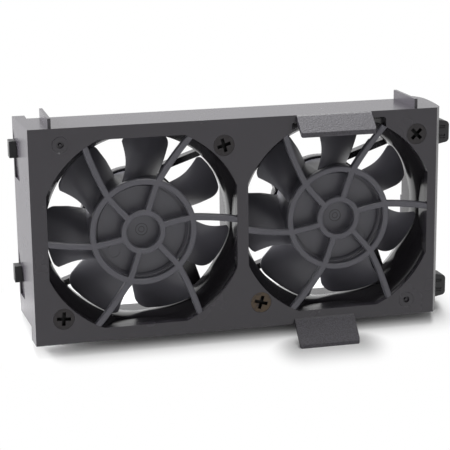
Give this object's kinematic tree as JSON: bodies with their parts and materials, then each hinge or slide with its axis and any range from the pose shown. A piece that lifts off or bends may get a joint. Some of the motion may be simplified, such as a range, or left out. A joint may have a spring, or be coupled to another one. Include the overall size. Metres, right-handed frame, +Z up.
{
  "type": "server fan module",
  "caption": "Moulded carrier holding axial cooling fans side by side, with finger guards, grip tabs, guide fins and rubber bumpers, for a server chassis.",
  "frame": {"origin": "middle of the carrier's front face", "axes": "+X to the right as the front is faced, +Y back through the fans, +Z up"},
  "size_m": [0.1365, 0.0312, 0.0749],
  "materials": {
    "carrier_plastic": "satin black ABS",
    "fan_plastic": "satin black glass-filled PBT",
    "impeller_plastic": "satin black glass-filled PBT",
    "bumper_rubber": "matt black rubber",
    "black_steel": "black oxide steel",
    "zinc_steel": "zinc-plated drawn steel",
    "bonded_magnet": "bonded ferrite",
    "bearing_steel": "ground bearing steel",
    "spring_steel": "spring steel",
    "turned_brass": "turned brass",
    "laminated_steel": "stacked silicon steel",
    "insulator_nylon": "natural nylon",
    "enamelled_copper": "enamelled copper wire",
    "board_laminate": "green solder resist on glass laminate",
    "chip_resin": "moulded epoxy"
  },
  "bodies": {
    "housing": {"carrier": "carrier_plastic", "fan_screws": "black_steel", "left_bearing_tube": "turned_brass", "left_board_parts": "chip_resin", "left_circuit_board": "board_laminate", "left_fan_frame": "fan_plastic", "left_finger_guard": "carrier_plastic", "left_front_bearing_balls": "bearing_steel", "left_front_bearing_outer": "bearing_steel", "left_pads": "bumper_rubber", "left_rear_bearing_balls": "bearing_steel", "left_rear_bearing_outer": "bearing_steel", "left_stator_core": "laminated_steel", "left_stator_insulators": "insulator_nylon", "left_windings": "enamelled_copper", "right_bearing_tube": "turned_brass", "right_board_parts": "chip_resin", "right_bumpers": "bumper_rubber", "right_circuit_board": "board_laminate", "right_fan_frame": "fan_plastic", "right_finger_guard": "carrier_plastic", "right_front_bearing_balls": "bearing_steel", "right_front_bearing_outer": "bearing_steel", "right_rear_bearing_balls": "bearing_steel", "right_rear_bearing_outer": "bearing_steel", "right_stator_core": "laminated_steel", "right_stator_insulators": "insulator_nylon", "right_windings": "enamelled_copper"},
    "left_rotor": {"left_front_bearing_inner": "bearing_steel", "left_impeller": "impeller_plastic", "left_magnet_ring": "bonded_magnet", "left_preload_washer": "spring_steel", "left_rear_bearing_inner": "bearing_steel", "left_retaining_clip": "spring_steel", "left_rotor_yoke": "zinc_steel", "left_shaft": "bearing_steel"},
    "right_rotor": {"right_front_bearing_inner": "bearing_steel", "right_impeller": "impeller_plastic", "right_magnet_ring": "bonded_magnet", "right_preload_washer": "spring_steel", "right_rear_bearing_inner": "bearing_steel", "right_retaining_clip": "spring_steel", "right_rotor_yoke": "zinc_steel", "right_shaft": "bearing_steel"}
  },
  "joints": [
    {"name": "left_fan_spin", "type": "hinge", "parent": "housing", "child": "left_rotor", "pos_m": [-0.0296, 0, 0], "axis": [0, 1, 0], "continuous": true},
    {"name": "right_fan_spin", "type": "hinge", "parent": "housing", "child": "right_rotor", "pos_m": [0.0316, 0, 0], "axis": [0, 1, 0], "continuous": true}
  ]
}
